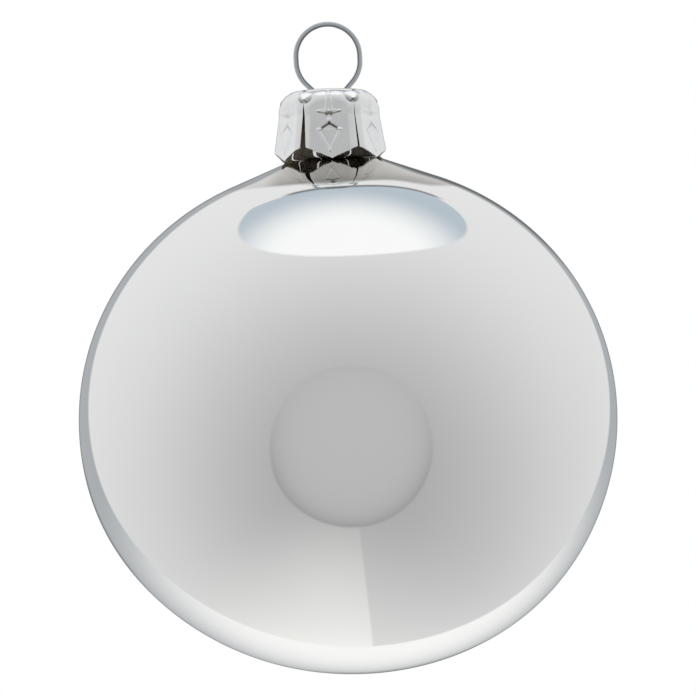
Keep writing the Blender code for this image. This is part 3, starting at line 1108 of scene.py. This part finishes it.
def crown_point(tab, share, row):
    """Angle, radius, drop, normal, angle from the tab's middle and share of hem at a place on its face."""
    turn = TURN / 4.0 * min(1.0, row / EDGE_ROWS)
    row_drop = CROWN_EDGE_RADIUS * (1.0 - math.cos(turn))
    if row > EDGE_ROWS:
        row_drop += (TAB_CORNER_DROP - CROWN_EDGE_RADIUS) * (row - EDGE_ROWS) / WALL_ROWS
    low, high = tab_edges(tab, row_drop)
    angle = low + (high - low) * share
    local = angle - TURN / CROWN_TABS * (tab + 0.5)
    centred = 1.0 - abs(2.0 * share - 1.0)
    hem = smoothstep(row_drop, TAB_CORNER_DROP - HEM_SPREAD, TAB_CORNER_DROP)
    if row <= EDGE_ROWS:
        radius, drop, normal = edge_arc(turn, local)
    else:
        drop = row_drop + (TAB_TIP_DROP - TAB_TRIMS[tab] - TAB_CORNER_DROP) * centred * hem
        radius = crown_radius(drop)
        normal = Vector((1.0, 0.0))
    chord = math.cos(PANEL_HALF_ANGLE) / math.cos(local) if abs(local) < PANEL_HALF_ANGLE else 1.0
    radius *= 1.0 + (chord - 1.0) * smoothstep(drop, *FACET_SPAN)
    return angle, radius, drop, normal, local, hem


def sheet_vertex(bm, place, sheet, crease_shade):
    """A vertex with its place on the flat sheet and the strength of the painted crease shade there."""
    vert = bm.verts.new(place)
    vert[bm.verts.layers.float_vector["sheet"]] = sheet
    vert[bm.verts.layers.float["crease"]] = crease_shade
    return vert


def tab_vertex(bm, tab, share, row, lean):
    """One vertex of a tab's outer face, with the stamping, the pleats and the uneven hem."""
    angle, radius, drop, normal, local, hem = crown_point(tab, share, row)
    across = local * radius
    relief, crease_shade = stamped(across / MM, drop / MM)
    lump, moat = pleat(angle, drop)
    rise = (relief * TAB_STAMP[tab] + lump) * smoothstep(drop, 0.0, RELIEF_START)
    lean *= smoothstep(drop, FLARE_START_DROP, TAB_CORNER_DROP)
    nick = noise.noise(Vector((angle * HEM_NICK_DENSITY, tab * 3.1, 0.0))) * HEM_NICK * hem
    radial = radius + rise * normal.x + lean
    height = CROWN_TOP_Z - drop + rise * normal.y - nick
    place = Vector((radial * math.cos(angle), radial * math.sin(angle), height))
    sheet = Vector((across + tab * TEXTURE_STEP, drop, 0.0))
    # The painted crease shade is the stronger of the stamping's and the pleat moat's.
    return sheet_vertex(bm, place, sheet, max(crease_shade * TAB_CREASE_SHADE[tab], moat))


def add_tab(bm, tab, lean):
    """A sixth of the rounded edge and the tab below it; returns its top row of vertices."""
    shares = [column / TAB_COLUMNS for column in range(TAB_COLUMNS + 1)]
    grid = []
    for row in range(EDGE_ROWS + WALL_ROWS + 1):
        grid.append([tab_vertex(bm, tab, share, row, lean) for share in shares])
    for upper, lower in zip(grid, grid[1:]):
        for column in range(TAB_COLUMNS):
            bm.faces.new((upper[column], lower[column], lower[column + 1], upper[column + 1]))
    return grid[0][:-1]


def circle(centre, radius, count, phase=0.0):
    """Points round a circle in a plan; the phase is a share of one step."""
    points = []
    for segment in range(count):
        angle = TURN * (segment + phase) / count
        points.append(Vector((centre.x + radius * math.cos(angle), centre.y + radius * math.sin(angle))))
    return points


def plate_plan(rim_ring, holes):
    """The top plate's plan: its rim and holes as points and edges, and loose points to fill it."""
    plan = [vert.co.xy for vert in rim_ring]
    edges = [(index, (index + 1) % len(plan)) for index in range(len(plan))]
    for hole in holes:
        first = len(plan)
        plan += circle(hole, HOLE_RADIUS, HOLE_SEGMENTS)
        edges += [(first + index, first + (index + 1) % HOLE_SEGMENTS) for index in range(HOLE_SEGMENTS)]
        for ring in range(1, HOLE_LIP_RINGS + 1):
            plan += circle(hole, HOLE_RADIUS + HOLE_LIP_STEP * ring, HOLE_SEGMENTS, 0.5 * (ring % 2))
    axis = Vector((0.0, 0.0))
    flat_radius = CROWN_WALL_RADIUS - CROWN_EDGE_RADIUS
    for ring in range(TOP_RINGS):
        count = max(1, ring * TOP_RING_POINTS)
        for spot in circle(axis, flat_radius * ring / TOP_RINGS, count, 0.5 * (ring % 2)):
            if min((spot - hole).length for hole in holes) > HOLE_RADIUS + HOLE_CLEARANCE:
                plan.append(spot)
    return plan, edges


def add_plate(bm, rim_ring):
    """The flat top between the rounded edge and the two wire holes."""
    holes = [Vector((side * (waist_reach() + HOLE_SHIFT), 0.0)) for side in (-1.0, 1.0)]
    plan, edges = plate_plan(rim_ring, holes)
    spots, _, faces, origins, _, _ = geometry.delaunay_2d_cdt(plan, edges, [], 0, PLAN_TOLERANCE)
    plate = []
    for index, spot in enumerate(spots):
        if origins[index] and origins[index][0] < len(rim_ring):
            plate.append(rim_ring[origins[index][0]])
            continue
        place = Vector((spot.x, spot.y, CROWN_TOP_Z + plate_relief(spot, holes)))
        plate.append(sheet_vertex(bm, place, Vector((spot.x, spot.y, 0.0)), 0.0))
    for face in faces:
        middle = sum((spots[index] for index in face), Vector((0.0, 0.0))) / len(face)
        if min((middle - hole).length for hole in holes) > HOLE_RADIUS * 0.99:
            bm.faces.new([plate[index] for index in face])


def add_crown():
    """The stamped cup, as a thin closed sheet: top plate with two wire holes, rounded edge, and six tabs."""
    rng = random.Random(7)
    leans = [rng.uniform(-HEM_LEAN, HEM_LEAN) for _ in range(CROWN_TABS)]
    bm = bmesh.new()
    bm.verts.layers.float_vector.new("sheet")
    bm.verts.layers.float.new("crease")
    rim_ring = []
    for tab in range(CROWN_TABS):
        rim_ring += add_tab(bm, tab, leans[tab])
    add_plate(bm, rim_ring)
    bmesh.ops.remove_doubles(bm, verts=bm.verts, dist=WELD_DISTANCE)
    bmesh.ops.recalc_face_normals(bm, faces=bm.faces)
    thicken(bm, ROLLED_SHEET)
    to_top = Matrix.Translation((0.0, 0.0, CROWN_TOP_Z))
    lean = Matrix.Translation((CROWN_SHIFT, 0.0, 0.0)) @ to_top @ Matrix.Rotation(CROWN_LEAN, 4, "Y")
    bmesh.ops.transform(bm, verts=bm.verts, matrix=lean @ to_top.inverted())
    bright = tinplate("tinplate_fine", BRIGHT_TIN, 0.09, 1.0)
    dull = tinplate("tinplate_inside", DULL_TIN, 0.45, 0.35)
    add_piece("stamped_crown_cap", bm, [bright, dull], "crown", "crown_cap", math.radians(50.0))


def plate_relief(spot, holes):
    """Height of the top plate: a ray towards each tab and a punched dimple round each hole."""
    radius = spot.length
    flat_radius = CROWN_WALL_RADIUS - CROWN_EDGE_RADIUS
    angle = math.atan2(spot.y, spot.x)
    step = TURN / CROWN_TABS
    off = (angle % step) - step / 2.0
    across = abs(math.sin(off)) * radius
    ray = smoothstep(RAY_HALF_WIDTH - across, 0.0, RAY_FLANK) * smoothstep(radius, *RAY_START)
    ray *= 1.0 - smoothstep(radius, flat_radius - RAY_FADE, flat_radius)
    dimple = sum(ridge((spot - hole).length - HOLE_RADIUS, DIMPLE_WIDTH) for hole in holes)
    return RAY_HEIGHT * ray * (1.0 - min(1.0, dimple)) - DIMPLE_DEPTH * dimple


def thicken(bm, thickness):
    """Give an open sheet its thickness inwards, with closed edges; inner faces get the second material."""
    bm.normal_update()
    sheet_at = bm.verts.layers.float_vector["sheet"]
    crease_at = bm.verts.layers.float["crease"]
    outer_faces = list(bm.faces)
    outer = list(bm.verts)
    inner = {}
    for vert in outer:
        copy = bm.verts.new(vert.co - vert.normal * thickness)
        copy[sheet_at] = vert[sheet_at]
        copy[crease_at] = 0.0
        inner[vert] = copy
    borders = [edge for edge in bm.edges if len(edge.link_faces) == 1]
    for face in outer_faces:
        added = bm.faces.new([inner[vert] for vert in reversed(face.verts)])
        added.material_index = 1
    for edge in borders:
        a, b = edge.verts
        bm.faces.new((a, b, inner[b], inner[a]))


# --------------------------------------------------------------------------------------------------- build

add_camera()
add_world()
add_floor()
add_key_light()
add_ball()
add_lining()
add_hanger()
add_crown()
